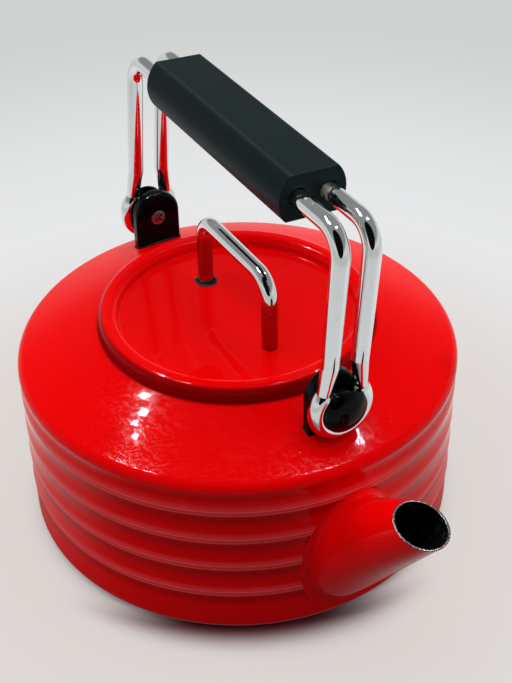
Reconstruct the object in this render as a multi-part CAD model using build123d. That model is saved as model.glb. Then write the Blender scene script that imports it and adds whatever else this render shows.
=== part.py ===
from build123d import *
import math
import os

# Stovetop kettle with a folding bail handle, in millimetres.
# Origin: centre of the standing ring on the table plane. +Z is up, +X points to the spout,
# and the bail swings about an axis parallel to X through its two pivot screws.

# --- drum and base -------------------------------------------------------------------
body_radius = 105.0        # over the ribs of the side wall
sheet = 1.0                # enamelled steel sheet of drum, base and spout
shoulder_edge_height = 90.0   # where the shoulder line would meet the wall line
shoulder_edge_radius = 5.0    # outer rounding between shoulder and wall
shoulder_crown = 0.8       # how far the shoulder bulges over its straight line
lid_seat_height = 102.5    # shoulder height under the outer edge of the lid skirt
neck_radius = 56.4         # inside of the neck that the lid spigot enters
neck_roll_radius = 3.0     # rolled edge between shoulder and neck
neck_depth = 3.5           # straight part of the neck
rib_count = 4
first_rib_height = 25.4
rib_pitch = 16.5
rib_width = 6.0
rib_height = 0.45          # rib crest over the edge of the band beside it
band_depth = 0.45          # hollow of each band between two ribs
base_curl_radius = 6.5     # outer rounding between base and wall
base_seam_height = 7.5    # seam between base dish and drum
stand_ring_outer = 93.0    # flat ring that the kettle stands on
stand_ring_width = 7.0
base_recess = 1.8          # centre of the base above the standing ring
base_recess_slope = 3.0    # radial run of the step into the recess

# --- spout ---------------------------------------------------------------------------
spout_rise_angle = 46.7    # axis above the horizontal
spout_axis_height = 44.2   # where the axis crosses the wall radius
spout_root_radius = 20.5
spout_mouth_radius = 10.8
spout_length = 69.0        # along the axis, from the wall radius to the mouth
spout_mouth_tilt = 34.1    # mouth plane against the square cut
spout_collar_round = 2.6   # hollow rounding of the weld bead round the root
spout_collar_lift = 0.1    # rim of the bead over the ribs
spout_collar_reach = 3.9   # rim of the bead from the spout surface
spout_hole_inset = 2.5     # wall left inside the spout root
spout_cone_back = 2.4      # raw cone behind the wall, in root radii
spout_cone_front = 2.0     # raw cone past the mouth, in mouth radii

# --- bail pivots ---------------------------------------------------------------------
pivot_set_offset = -1.8    # both pivots and the bail sit this far off the middle, along X
pivot_over_seat = 10.0     # pivot axis above the lid seat height
bracket_edge_distance = 24.0   # lid-side face of a post inside the wall radius
bracket_thickness = 6.5
bracket_width = 24.2
bracket_top_rise = 2.0     # centre of the rounded top above the pivot
bracket_edge_round = 1.9
seat_gap = 0.1             # hairline between a post and the shoulder
lug_thickness = 2.2
lug_width = 14.0
lug_top_above_pivot = 6.0
lug_inset = 2.9            # lid-side face of the tab behind the lid-side face of the post
lug_clearance = 0.12
screw_radius = 2.5
screw_head_radius = 4.1
screw_head_thickness = 1.7
screw_head_round = 0.4     # rounding of a screw head's rim, in head thicknesses
screw_head_well_depth = 1.8
screw_head_well_clearance = 0.35
cross_recess_width = 1.1
cross_recess_length = 4.6
cross_recess_depth = 1.4
screw_hole_clearance = 0.15
washer_thickness = 0.6
washer_radius = 8.6
pivot_running_clearance = 0.05
nut_across_flats = 8.0
nut_thickness = 4.0
nut_thread_clearance = 0.02
screw_end_past_nut = 0.8

# --- bail ----------------------------------------------------------------------------
wire_radius = 4.0
wire_spacing = 14.6        # between the two rods of one hairpin
wire_plane_gap = 5.1       # centre plane of the hanging rods past the outer face of a post
eye_radius = 11.8          # centre line of the ring eye
leg_taper_top = 23.0       # above the pivot, where the rods begin to taper and spread
eye_opening_angle = 36.7   # above the horizontal, where the open ring ends and the rods begin
leg_foot_radius = 3.1
bail_bend_radius = 11.7
bail_rest_lean = 3.9       # the bail as placed, in degrees from upright toward +Y
rod_height = 84.7          # rod centre line in the grip, above the pivot
grip_length = 121.2
grip_shift = -1.2          # middle of the grip from the middle between the rods
grip_top = 95.3            # flat top above the pivot
grip_bottom = 74.0         # flat underside above the pivot
grip_radius = 15.9         # round flanks between the two flats
grip_centre_height = 84.1  # centre of the round flanks, above the pivot
grip_edge_round = 0.7
grip_bore_clearance = 0.35
grip_bore_mouth_depth = 3.0
grip_rod_depth = 24.0
grip_rod_fit = 0.02
hub_ring_clearance = 0.2
hub_flange_radius = 9.4
hub_flange_thickness = 0.85
hub_recess_radius = 6.2
hub_bush_length = 3.4      # bearing length behind the flange
cap_radius = 10.3
cap_rim = 0.9              # straight edge of the cap
cap_rise = 4.2             # dome above the straight edge
cap_gap = 0.25             # between the ring and the back of the cap, along X
cap_plug_clearance = 0.02
cap_plug_wall = 0.9
cap_plug_depth = 2.4
cap_hollow_past_screw = 0.6

# --- lid -----------------------------------------------------------------------------
lid_radius = 65.2          # outside of the skirt
lid_sheet = 1.0
lid_skirt_gap = 0.3        # inner edge of the skirt over the shoulder
lid_floor_rise = 2.2       # lid floor over the lid seat height
lid_floor_radius = 56.0    # inner wall of the rim
lid_floor_cove = 1.5
lid_rim_rise = 5.9         # top of the rim over the lid floor
lid_rim_inner_round = 4.0
lid_rim_outer_round = 3.4
spigot_clearance = 1.9     # loose fit of the spigot in the neck
spigot_depth = 9.0         # below the lid floor
spigot_flange_width = 5.0
spigot_round = 1.6
lid_handle_rod_radius = 3.8
lid_handle_span = 62.2     # between the two feet
lid_handle_rise = 35.7     # centre line of the bridge over the lid floor
lid_handle_bend_radius = 10.5
lid_screw_radius = 2.0
lid_screw_head_radius = 3.8
lid_screw_head_thickness = 2.2
lid_screw_depth = 9.0      # into the rod
lid_washer_radius = 6.0
lid_washer_thickness = 1.0
lid_hole_clearance = 0.2


def write(shape, node):
    shape.label = node
    export_step(shape, f"parts/{node}.step")


def shoulder_line_height(radius):
    """Height of the straight shoulder line, without its crown, at a radius."""
    slope = (lid_seat_height - shoulder_edge_height) / (body_radius - lid_radius)
    return shoulder_edge_height + (body_radius - radius) * slope


shoulder_angle = math.atan2(lid_seat_height - shoulder_edge_height, body_radius - lid_radius)
neck_roll_centre_r = neck_radius + neck_roll_radius
neck_roll_top_r = neck_roll_centre_r + neck_roll_radius * math.sin(shoulder_angle)
neck_roll_centre_z = shoulder_line_height(neck_roll_top_r) - neck_roll_radius * math.cos(shoulder_angle)
shoulder_edge_setback = shoulder_edge_radius * math.tan((math.pi / 2 - shoulder_angle) / 2)
shoulder_edge_top_r = body_radius - shoulder_edge_radius * (1 - math.sin(shoulder_angle))


def shoulder_height(radius):
    """Height of the crowned shoulder at a radius: the line, and a shallow bow over it."""
    along = (radius - neck_roll_top_r) / (shoulder_edge_top_r - neck_roll_top_r)
    bow = 4 * shoulder_crown * along * (1 - along)
    return shoulder_line_height(radius) + bow / math.cos(shoulder_angle)


def drum_outline(offset):
    """Outer half section of drum and base as edges in the XZ plane, moved inwards by offset.
    It runs from the foot of the neck over the shoulder and down the ribbed wall to the seam."""
    o = offset
    roll = neck_roll_radius - o
    c = Vector(neck_roll_centre_r, 0, neck_roll_centre_z)
    neck_foot = Vector(c.X - roll, 0, c.Z - neck_depth)
    roll_start = Vector(c.X - roll, 0, c.Z)
    mid_angle = (math.pi + math.pi / 2 - shoulder_angle) / 2
    roll_mid = Vector(c.X + roll * math.cos(mid_angle), 0, c.Z + roll * math.sin(mid_angle))
    roll_end = Vector(c.X + roll * math.sin(shoulder_angle), 0, c.Z + roll * math.cos(shoulder_angle))
    edge = shoulder_edge_radius
    ec = Vector(body_radius - edge, 0, shoulder_edge_height - shoulder_edge_setback)
    er = edge - o
    edge_start = Vector(ec.X + er * math.sin(shoulder_angle), 0, ec.Z + er * math.cos(shoulder_angle))
    half = (math.pi / 2 - shoulder_angle) / 2
    edge_mid = Vector(ec.X + er * math.cos(half), 0, ec.Z + er * math.sin(half))
    edge_end = Vector(ec.X + er, 0, ec.Z)
    middle = (roll_end + edge_start) / 2
    crown = Vector(math.sin(shoulder_angle), 0, math.cos(shoulder_angle)) * shoulder_crown
    edges = [Line(neck_foot, roll_start), ThreePointArc(roll_start, roll_mid, roll_end)]
    edges.append(ThreePointArc(roll_end, middle + crown, edge_start))
    edges.append(ThreePointArc(edge_start, edge_mid, edge_end))
    wall = body_radius - o
    low = wall - rib_height
    at = edge_end
    for i in reversed(range(rib_count)):
        z = first_rib_height + i * rib_pitch
        top = Vector(low, 0, z + rib_width / 2)
        crest = Vector(wall, 0, z)
        bottom = Vector(low, 0, z - rib_width / 2)
        edges.append(ThreePointArc(at, Vector(low - band_depth, 0, (at.Z + top.Z) / 2), top))
        edges.append(ThreePointArc(top, crest, bottom))
        at = bottom
    edges.append(Line(at, Vector(low, 0, base_seam_height)))
    return edges


def base_outline(offset):
    """Half section of the base dish, from the seam round the curl to the axis."""
    o = offset
    wall = body_radius - rib_height - o
    r = base_curl_radius
    c = Vector(body_radius - rib_height - r, 0, r)
    k = r - o
    seam = Vector(wall, 0, base_seam_height)
    start = Vector(wall, 0, c.Z)
    mid = Vector(c.X + k * math.cos(math.pi / 4), 0, c.Z - k * math.sin(math.pi / 4))
    end = Vector(c.X, 0, o)
    ring_out = Vector(stand_ring_outer, 0, o)
    ring_in = Vector(stand_ring_outer - stand_ring_width, 0, o)
    step = Vector(ring_in.X - base_recess_slope, 0, base_recess + o)
    axis = Vector(0, 0, base_recess + o)
    edges = [Line(seam, start), ThreePointArc(start, mid, end)]
    if c.X > stand_ring_outer:
        edges.append(Line(end, ring_out))
        edges.append(Line(ring_out, ring_in))
    else:
        edges.append(Line(end, ring_in))
    edges.append(Line(ring_in, step))
    edges.append(Line(step, axis))
    return edges


def revolve_section(edges):
    face = make_face(Wire(edges))
    return revolve(face, Axis.Z, 360)


def close_between(outer, inner):
    """Closed chain from two outlines that run the same way."""
    first = Line(outer[0] @ 0, inner[0] @ 0)
    last = Line(outer[-1] @ 1, inner[-1] @ 1)
    return outer + inner + [first, last]


def drum_solid(grow):
    """Everything inside the outer surface of the drum, that surface moved out by grow."""
    outline = drum_outline(-grow)
    start = outline[0] @ 0
    end = outline[-1] @ 1
    low = Vector(end.X, 0, 0)
    centre = Vector(0, 0, 0)
    top = Vector(0, 0, start.Z)
    chain = outline + [Line(end, low), Line(low, centre), Line(centre, top), Line(top, start)]
    return revolve_section(chain)


# --- spout geometry ------------------------------------------------------------------
spout_angle = math.radians(spout_rise_angle)
spout_direction = Vector(math.cos(spout_angle), 0, math.sin(spout_angle))
spout_start = Vector(body_radius, 0, spout_axis_height)
spout_taper = (spout_root_radius - spout_mouth_radius) / spout_length
spout_back = spout_root_radius * spout_cone_back
spout_front = spout_mouth_radius * spout_cone_front


def spout_cone(grow):
    """Cone about the spout axis, its surface moved out by grow."""
    r0 = spout_root_radius + grow + spout_taper * spout_back
    r1 = spout_mouth_radius + grow - spout_taper * spout_front
    plane = Plane(origin=spout_start - spout_direction * spout_back, z_dir=spout_direction)
    height = spout_back + spout_length + spout_front
    cone = Cone(r0, r1, height, align=(Align.CENTER, Align.CENTER, Align.MIN))
    return plane.location * cone


def mouth_cutter():
    """Half space above the mouth plane."""
    centre = spout_start + spout_direction * spout_length
    tilt = spout_angle + math.radians(spout_mouth_tilt)
    normal = Vector(math.cos(tilt), 0, math.sin(tilt))
    size = spout_root_radius * 8
    block = Box(size, size, size, align=(Align.CENTER, Align.CENTER, Align.MIN))
    return Plane(origin=centre, z_dir=normal).location * block


def drum():
    outer = drum_outline(0)
    inner = drum_outline(sheet)
    shell = revolve_section(close_between(outer, inner))
    return shell - spout_cone(-spout_hole_inset)


def base():
    return revolve_section(close_between(base_outline(0), base_outline(sheet)))


def above_table(shape):
    """Keeps what lies above the table plane."""
    size = body_radius * 4
    return shape & Box(size, size, size, align=(Align.CENTER, Align.CENTER, Align.MIN))


def spout(solid_drum):
    tube = above_table(spout_cone(0)) - solid_drum
    return tube - spout_cone(-sheet) - mouth_cutter()


def collar(solid_drum):
    """Weld bead round the spout root: the hollow rounding between the spout and a plain wall."""
    wall = Cylinder(body_radius + spout_collar_lift, shoulder_edge_height * 3)
    cone = spout_cone(0)
    joined = wall + cone
    seam = [e for e in joined.edges() if e.geom_type not in (GeomType.CIRCLE, GeomType.LINE)]
    joined = fillet(seam, spout_collar_round)
    reach = spout_cone(spout_collar_reach)
    bead = Pos(0, 0, base_seam_height) * above_table(Pos(0, 0, -base_seam_height) * (joined & reach))
    return bead - cone - solid_drum


def sideways(z_up, x):
    """Placement whose local Z runs along +X, at height z_up and distance x."""
    return Plane(origin=(x, 0, z_up), x_dir=(0, 1, 0), z_dir=(1, 0, 0)).location


def rod_x(radius, x0, x1, z):
    return sideways(z, x0) * Cylinder(radius, x1 - x0, align=(Align.CENTER, Align.CENTER, Align.MIN))


pivot_height = lid_seat_height + pivot_over_seat
bracket_inner_x = body_radius - bracket_edge_distance
bracket_outer_x = bracket_inner_x + bracket_thickness
wire_plane_x = bracket_outer_x + wire_plane_gap
washer_outer_x = bracket_outer_x + washer_thickness
hub_inner_x = washer_outer_x + pivot_running_clearance
bush_end_x = hub_inner_x + hub_flange_thickness + hub_bush_length
nut_start_x = bush_end_x + pivot_running_clearance
nut_end_x = nut_start_x + nut_thickness
screw_end_x = nut_end_x + screw_end_past_nut
head_seat_x = bracket_inner_x + screw_head_well_depth
eye_inner_radius = eye_radius - wire_radius
hub_radius = eye_inner_radius - hub_ring_clearance
cap_back_x = wire_plane_x + math.sqrt(wire_radius**2 - (eye_radius - cap_radius) ** 2) + cap_gap
hub_outer_x = cap_back_x
rod_end_x = grip_length / 2 - grip_rod_depth
eye_opening_angle_rad = math.radians(eye_opening_angle)


def bracket():
    """Post with a rounded top, a well for the screw head and a pocket for the steel tab.
    Its foot is still square and reaches into the drum."""
    half = bracket_width / 2
    centre_z = pivot_height + bracket_top_rise
    foot_z = shoulder_edge_height - shoulder_edge_radius
    height = centre_z - foot_z
    slab = Box(bracket_thickness, bracket_width, height, align=(Align.MIN, Align.CENTER, Align.MIN))
    slab = Pos(bracket_inner_x, 0, foot_z) * slab
    post = slab + rod_x(half, bracket_inner_x, bracket_outer_x, centre_z)
    rim = post.edges().filter_by(GeomType.LINE).filter_by(Axis.Z)
    rim += post.edges().filter_by(GeomType.CIRCLE)
    post = fillet(rim, bracket_edge_round)
    well_r = screw_head_radius + screw_head_well_clearance
    post = post - rod_x(well_r, bracket_inner_x - sheet, head_seat_x, pivot_height)
    hole_r = screw_radius + screw_hole_clearance
    post = post - rod_x(hole_r, bracket_inner_x, bracket_outer_x + sheet, pivot_height)
    return post - lug_blank(lug_clearance, foot_z)


def lug_blank(grow, foot_z):
    """Flat steel tab from inside the shoulder up to its square top, grown on all sides."""
    x0 = bracket_inner_x + lug_inset - grow
    width = lug_width + 2 * grow
    top = pivot_height + lug_top_above_pivot + grow
    blank = Box(lug_thickness + 2 * grow, width, top - foot_z, align=(Align.MIN, Align.CENTER, Align.MIN))
    return Pos(x0, 0, foot_z) * blank


def lug():
    foot_z = shoulder_edge_height - shoulder_edge_radius
    tab = lug_blank(0, foot_z)
    x0 = bracket_inner_x
    return tab - rod_x(screw_radius + screw_hole_clearance, x0, x0 + bracket_thickness, pivot_height)


def cross_recess():
    """Driver recess of two crossed slots, sunk from Z = 0 upwards."""
    stand = (Align.CENTER, Align.CENTER, Align.MIN)
    bar = Box(cross_recess_length, cross_recess_width, cross_recess_depth, align=stand)
    return bar + Rot(0, 0, 90) * bar


def pivot_screw():
    head = rod_x(screw_head_radius, head_seat_x - screw_head_thickness, head_seat_x, pivot_height)
    rim = head.edges().group_by(Axis.X)[0]
    head = fillet(rim, screw_head_thickness * screw_head_round)
    shank = rod_x(screw_radius, head_seat_x, screw_end_x, pivot_height)
    x0 = head_seat_x - screw_head_thickness
    cross = sideways(pivot_height, x0) * Rot(0, 0, 45) * cross_recess()
    return head + shank - cross


def friction_washer():
    ring = rod_x(washer_radius, bracket_outer_x, washer_outer_x, pivot_height)
    return ring - rod_x(screw_radius + screw_hole_clearance, bracket_outer_x, washer_outer_x, pivot_height)


def pivot_nut():
    plan = RegularPolygon(nut_across_flats / 2, 6, major_radius=False)
    body = sideways(pivot_height, nut_start_x) * extrude(plan, nut_thickness)
    return body - rod_x(screw_radius + nut_thread_clearance, nut_start_x, nut_end_x, pivot_height)


def hub():
    flange = rod_x(hub_flange_radius, hub_inner_x, hub_inner_x + hub_flange_thickness, pivot_height)
    core = rod_x(hub_radius, hub_inner_x, hub_outer_x, pivot_height)
    recess = rod_x(hub_recess_radius, bush_end_x, hub_outer_x, pivot_height)
    bore = rod_x(screw_radius + pivot_running_clearance, hub_inner_x, hub_outer_x, pivot_height)
    return flange + core - recess - bore


def hub_cap():
    """Domed button with a ring plug that enters the hub over the nut."""
    rim_x = cap_back_x + cap_rim
    apex_x = rim_x + cap_rise
    hollow_x = screw_end_x + cap_hollow_past_screw
    plug_r = hub_recess_radius - cap_plug_clearance
    plug_x = cap_back_x - cap_plug_depth
    inner_r = plug_r - cap_plug_wall
    z = pivot_height
    sphere_r = (cap_radius**2 + cap_rise**2) / (2 * cap_rise)
    arc_mid_x = apex_x - sphere_r + math.sqrt(sphere_r**2 - (cap_radius / 2) ** 2)
    outline = [
        Line((hollow_x, 0, z), (apex_x, 0, z)),
        ThreePointArc((apex_x, 0, z), (arc_mid_x, 0, z + cap_radius / 2), (rim_x, 0, z + cap_radius)),
        Line((rim_x, 0, z + cap_radius), (cap_back_x, 0, z + cap_radius)),
        Line((cap_back_x, 0, z + cap_radius), (cap_back_x, 0, z + plug_r)),
        Line((cap_back_x, 0, z + plug_r), (plug_x, 0, z + plug_r)),
        Line((plug_x, 0, z + plug_r), (plug_x, 0, z + inner_r)),
        Line((plug_x, 0, z + inner_r), (hollow_x, 0, z + inner_r)),
        Line((hollow_x, 0, z + inner_r), (hollow_x, 0, z)),
    ]
    return revolve(make_face(Wire(outline)), Axis((0, 0, z), (1, 0, 0)), 360)


def eye_ring():
    """Ring eye, open at the top between the two places where the rods run into it."""
    ring = sideways(pivot_height, wire_plane_x) * Torus(eye_radius, wire_radius)
    reach = 2 * eye_radius
    back = wire_plane_x - 2 * wire_radius
    z = pivot_height + reach * math.sin(eye_opening_angle_rad)
    y = reach * math.cos(eye_opening_angle_rad)
    corners = [(back, 0, pivot_height), (back, y, z), (back, 0, pivot_height + 2 * reach), (back, -y, z)]
    opening = extrude(make_face(Polyline(*corners, close=True)), 4 * wire_radius, dir=(1, 0, 0))
    return ring - opening


def hairpin():
    """Twin rods that leave the grip, bend down and end in one open ring eye."""
    half = wire_spacing / 2
    z_rod = pivot_height + rod_height
    z_taper = pivot_height + leg_taper_top
    corners = [(rod_end_x, 0, z_rod), (wire_plane_x, 0, z_rod), (wire_plane_x, 0, z_taper)]
    path = FilletPolyline(*corners, radius=bail_bend_radius)
    start = Plane(origin=(rod_end_x, 0, z_rod), z_dir=(1, 0, 0))
    bent = sweep(start * Circle(wire_radius), path=path)
    foot_y = eye_radius * math.cos(eye_opening_angle_rad)
    foot_z = pivot_height + eye_radius * math.sin(eye_opening_angle_rad)
    run = math.hypot(foot_y - half, z_taper - foot_z)
    wire = eye_ring()
    for side in (-1, 1):
        rod = Pos(0, side * half, 0) * bent
        top = Vector(wire_plane_x, side * half, z_taper)
        foot = Vector(wire_plane_x, side * foot_y, foot_z)
        down = foot - top
        leg = Cone(wire_radius, leg_foot_radius, run, align=(Align.CENTER, Align.CENTER, Align.MIN))
        leg = Plane(origin=top, z_dir=down).location * leg
        knee = Pos(top.X, top.Y, top.Z) * Sphere(wire_radius)
        ankle = Pos(foot.X, foot.Y, foot.Z) * Sphere(wire_radius)
        wire = wire + rod + knee + leg + ankle
    back = wire_plane_x - wire_radius
    return wire - rod_x(eye_inner_radius, back, back + 2 * wire_radius, pivot_height)


def grip_bar():
    """Round bar with a flat top and underside, bored from both ends for the rods."""
    z = pivot_height
    centre_z = z + grip_centre_height
    top_y = math.sqrt(grip_radius**2 - (grip_top - grip_centre_height) ** 2)
    low_y = math.sqrt(grip_radius**2 - (grip_centre_height - grip_bottom) ** 2)
    x0 = grip_shift - grip_length / 2
    top = [(x0, -top_y, z + grip_top), (x0, top_y, z + grip_top)]
    low = [(x0, low_y, z + grip_bottom), (x0, -low_y, z + grip_bottom)]
    section = [
        Line(top[0], top[1]),
        ThreePointArc(top[1], (x0, grip_radius, centre_z), low[0]),
        Line(low[0], low[1]),
        ThreePointArc(low[1], (x0, -grip_radius, centre_z), top[0]),
    ]
    bar = extrude(make_face(Wire(section)), grip_length, dir=(1, 0, 0))
    bar = fillet(bar.edges(), grip_edge_round)
    z_rod = z + rod_height
    for side in (-1, 1):
        for end in (-1, 1):
            mouth = grip_shift + end * grip_length / 2
            deep = end * rod_end_x
            shallow = mouth - end * grip_bore_mouth_depth
            y = side * wire_spacing / 2
            wide_r = wire_radius + grip_bore_clearance
            wide = rod_x(wide_r, min(mouth, shallow), max(mouth, shallow), z_rod)
            fit = rod_x(wire_radius + grip_rod_fit, min(mouth, deep), max(mouth, deep), z_rod)
            bar = bar - Pos(0, y, 0) * wide - Pos(0, y, 0) * fit
    return bar


lid_floor_top = lid_seat_height + lid_floor_rise
lid_rim_top = lid_floor_top + lid_rim_rise
lid_handle_top = lid_floor_top + lid_handle_rise
lid_skirt_bottom = shoulder_height(lid_radius - lid_sheet) + lid_skirt_gap
half_root = math.sqrt(0.5)   # cosine of the middle of a quarter turn


def lid_outline(o):
    """Upper half section of the lid from the axis to the skirt, moved into the sheet by o."""
    floor_z = lid_floor_top - o
    cove = lid_floor_cove + o
    cove_c = Vector(lid_floor_radius - lid_floor_cove, 0, lid_floor_top + lid_floor_cove)
    inner = lid_rim_inner_round - o
    inner_c = Vector(lid_floor_radius + lid_rim_inner_round, 0, lid_rim_top - lid_rim_inner_round)
    outer = lid_rim_outer_round - o
    outer_c = Vector(lid_radius - lid_rim_outer_round, 0, lid_rim_top - lid_rim_outer_round)
    q = half_root
    a = Vector(0, 0, floor_z)
    b = Vector(cove_c.X, 0, floor_z)
    b_mid = Vector(cove_c.X + cove * q, 0, cove_c.Z - cove * q)
    c = Vector(cove_c.X + cove, 0, cove_c.Z)
    d = Vector(inner_c.X - inner, 0, inner_c.Z)
    d_mid = Vector(inner_c.X - inner * q, 0, inner_c.Z + inner * q)
    e = Vector(inner_c.X, 0, inner_c.Z + inner)
    f = Vector(outer_c.X, 0, outer_c.Z + outer)
    f_mid = Vector(outer_c.X + outer * q, 0, outer_c.Z + outer * q)
    g = Vector(outer_c.X + outer, 0, outer_c.Z)
    h = Vector(outer_c.X + outer, 0, lid_skirt_bottom)
    return [
        Line(a, b),
        ThreePointArc(b, b_mid, c),
        Line(c, d),
        ThreePointArc(d, d_mid, e),
        Line(e, f),
        ThreePointArc(f, f_mid, g),
        Line(g, h),
    ]


lid_feet = [(-lid_handle_span / 2, 0), (lid_handle_span / 2, 0)]


def post_z(radius, z0, z1, x, y):
    return Pos(x, y, z0) * Cylinder(radius, z1 - z0, align=(Align.CENTER, Align.CENTER, Align.MIN))


def lid():
    pan = revolve_section(close_between(lid_outline(0), lid_outline(lid_sheet)))
    hole_r = lid_screw_radius + lid_hole_clearance
    for x, y in lid_feet:
        pan = pan - post_z(hole_r, lid_floor_top - lid_sheet, lid_floor_top, x, y)
    return pan


def spigot():
    """Centring ring under the lid: a flat flange against the floor and a turned-down wall."""
    top = lid_floor_top - lid_sheet
    out_r = neck_radius - spigot_clearance
    in_r = out_r - lid_sheet
    flange_r = out_r - spigot_flange_width
    low = top - spigot_depth
    k = spigot_round
    q = half_root
    cr = out_r - k
    cz = top - k
    ki = k - lid_sheet
    edges = [
        Line((flange_r, 0, top), (cr, 0, top)),
        ThreePointArc((cr, 0, top), (cr + k * q, 0, cz + k * q), (out_r, 0, cz)),
        Line((out_r, 0, cz), (out_r, 0, low)),
        Line((out_r, 0, low), (in_r, 0, low)),
        Line((in_r, 0, low), (in_r, 0, cz)),
        ThreePointArc((in_r, 0, cz), (cr + ki * q, 0, cz + ki * q), (cr, 0, cz + ki)),
        Line((cr, 0, cz + ki), (flange_r, 0, cz + ki)),
        Line((flange_r, 0, cz + ki), (flange_r, 0, top)),
    ]
    return revolve_section(edges)


def lid_bridge():
    half = lid_handle_span / 2
    z0 = lid_floor_top
    z1 = lid_handle_top
    corners = [(-half, 0, z0), (-half, 0, z1), (half, 0, z1), (half, 0, z0)]
    path = FilletPolyline(*corners, radius=lid_handle_bend_radius)
    start = Plane(origin=(-half, 0, z0), z_dir=(0, 0, 1))
    rod = sweep(start * Circle(lid_handle_rod_radius), path=path)
    for x, y in lid_feet:
        rod = rod - post_z(lid_screw_radius + nut_thread_clearance, z0, z0 + lid_screw_depth, x, y)
    return rod


def lid_fasteners():
    """Washers and screws below the lid floor, one pair of each."""
    under = lid_floor_top - lid_sheet
    washer_low = under - lid_washer_thickness
    shank_top = lid_floor_top + lid_screw_depth - lid_hole_clearance
    washers = []
    screws = []
    for x, y in lid_feet:
        ring = post_z(lid_washer_radius, washer_low, under, x, y)
        washers.append(ring - post_z(lid_screw_radius + lid_hole_clearance, washer_low, under, x, y))
        head_low = washer_low - lid_screw_head_thickness
        head = post_z(lid_screw_head_radius, head_low, washer_low, x, y)
        rim = head.edges().group_by(Axis.Z)[0]
        head = fillet(rim, lid_screw_head_thickness * screw_head_round)
        shank = post_z(lid_screw_radius, washer_low, shank_top, x, y)
        screws.append(head + shank - Pos(x, y, head_low) * cross_recess())
    return Compound(washers), Compound(screws)


def rear(shape):
    """The rear pivot set is the front one turned half way round about Z."""
    return Rot(0, 0, 180) * shape


def leaned(shape):
    """Turned about the pivot axis from upright to the bail's resting lean."""
    return Pos(0, 0, pivot_height) * Rot(-bail_rest_lean, 0, 0) * Pos(0, 0, -pivot_height) * shape


def write_pivot_set(side, turn, outward):
    """Writes one side's pieces: moved outward along X, fitted to the drum, turned into place."""
    move = Pos(outward, 0, 0)
    fixed = {
        "lug": move * lug() - solid_drum,
        "bracket": move * bracket() - raised_drum,
        "pivot_screw": move * pivot_screw(),
        "friction_washer": move * friction_washer(),
        "pivot_nut": move * pivot_nut(),
    }
    swinging = {
        "hub": move * hub(),
        "hub_cap": move * hub_cap(),
        "wire": move * hairpin(),
    }
    for name, shape in fixed.items():
        write(turn(shape), f"{side}_{name}")
    for name, shape in swinging.items():
        write(leaned(turn(shape)), f"{side}_{name}")


os.makedirs("parts", exist_ok=True)
solid_drum = drum_solid(0)
raised_drum = drum_solid(seat_gap)
write(drum(), "drum_shell")
write(base(), "base_pan")
write(spout(solid_drum), "spout_tube")
write(collar(solid_drum), "spout_collar")
write_pivot_set("front", lambda shape: shape, pivot_set_offset)
write_pivot_set("rear", rear, -pivot_set_offset)
write(leaned(Pos(pivot_set_offset, 0, 0) * grip_bar()), "grip")
write(lid(), "lid_pan")
write(spigot(), "lid_spigot")
write(lid_bridge(), "lid_handle")
washers, screws = lid_fasteners()
write(washers, "lid_handle_washers")
write(screws, "lid_handle_screws")
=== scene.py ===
# %% [markdown]
# # A stovetop kettle, dressed
# The solids of this kettle come from CAD, already at their true size and place. This lesson
# gives them their looks: fired enamel, chrome plate, two kinds of black phenolic, and a few
# thin pieces that are easier to draw as surfaces than as solids. Everything is in metres and
# in the frame of the CAD model, so nothing is fitted by eye: a piece is placed by reading
# the box of the solid that it belongs to.

# %% Load the solids
import math
from functools import reduce

import bpy
import numpy as np
from mathutils import Matrix, Vector


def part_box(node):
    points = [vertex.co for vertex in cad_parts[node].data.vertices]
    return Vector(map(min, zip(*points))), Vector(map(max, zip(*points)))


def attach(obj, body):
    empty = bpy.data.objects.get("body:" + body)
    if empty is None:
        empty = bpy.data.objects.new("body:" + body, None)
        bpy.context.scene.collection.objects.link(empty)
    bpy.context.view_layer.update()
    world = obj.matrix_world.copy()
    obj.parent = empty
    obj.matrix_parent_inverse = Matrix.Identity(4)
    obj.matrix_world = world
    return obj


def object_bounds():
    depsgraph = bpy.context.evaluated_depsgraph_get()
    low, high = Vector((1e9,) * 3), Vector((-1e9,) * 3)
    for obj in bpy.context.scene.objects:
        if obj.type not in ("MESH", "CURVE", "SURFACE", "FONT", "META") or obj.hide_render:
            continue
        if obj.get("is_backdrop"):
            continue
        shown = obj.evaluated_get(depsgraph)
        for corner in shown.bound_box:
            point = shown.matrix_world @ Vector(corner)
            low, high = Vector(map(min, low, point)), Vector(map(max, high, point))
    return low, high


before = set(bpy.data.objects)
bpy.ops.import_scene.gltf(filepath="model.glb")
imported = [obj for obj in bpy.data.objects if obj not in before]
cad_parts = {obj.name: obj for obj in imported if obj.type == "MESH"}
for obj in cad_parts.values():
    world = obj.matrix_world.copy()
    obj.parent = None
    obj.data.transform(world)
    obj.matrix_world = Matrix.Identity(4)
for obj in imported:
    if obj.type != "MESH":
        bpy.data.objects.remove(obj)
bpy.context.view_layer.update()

# %% [markdown]
# ## What the solids tell us
# A drum turned about the vertical axis, a spout that points along +X, and a bail that swings
# about an axis parallel to X. The boxes of a few nodes give the lengths that the finishes
# need later: where the wall is, how high the pivots are, where the rods enter the grip.
# Some values can't be read from a box, so they are repeated from the drawing of the part:
# the line of the shoulder, the lean at which the bail rests, the cone of the spout, and the
# thickness of the sheet.

# %% Read the measures
drum_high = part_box("drum_shell")[1]
lid_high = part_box("lid_pan")[1]
grip_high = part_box("grip")[1]
cap_low, cap_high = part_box("front_hub_cap")
handle_low, handle_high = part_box("lid_handle")
wall_radius = drum_high.x
lid_radius = lid_high.x
pivot_height = (cap_low.z + cap_high.z) / 2
handle_rod_radius = handle_high.y
foot_reach = handle_high.x - handle_rod_radius
lid_floor = handle_low.z

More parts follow.
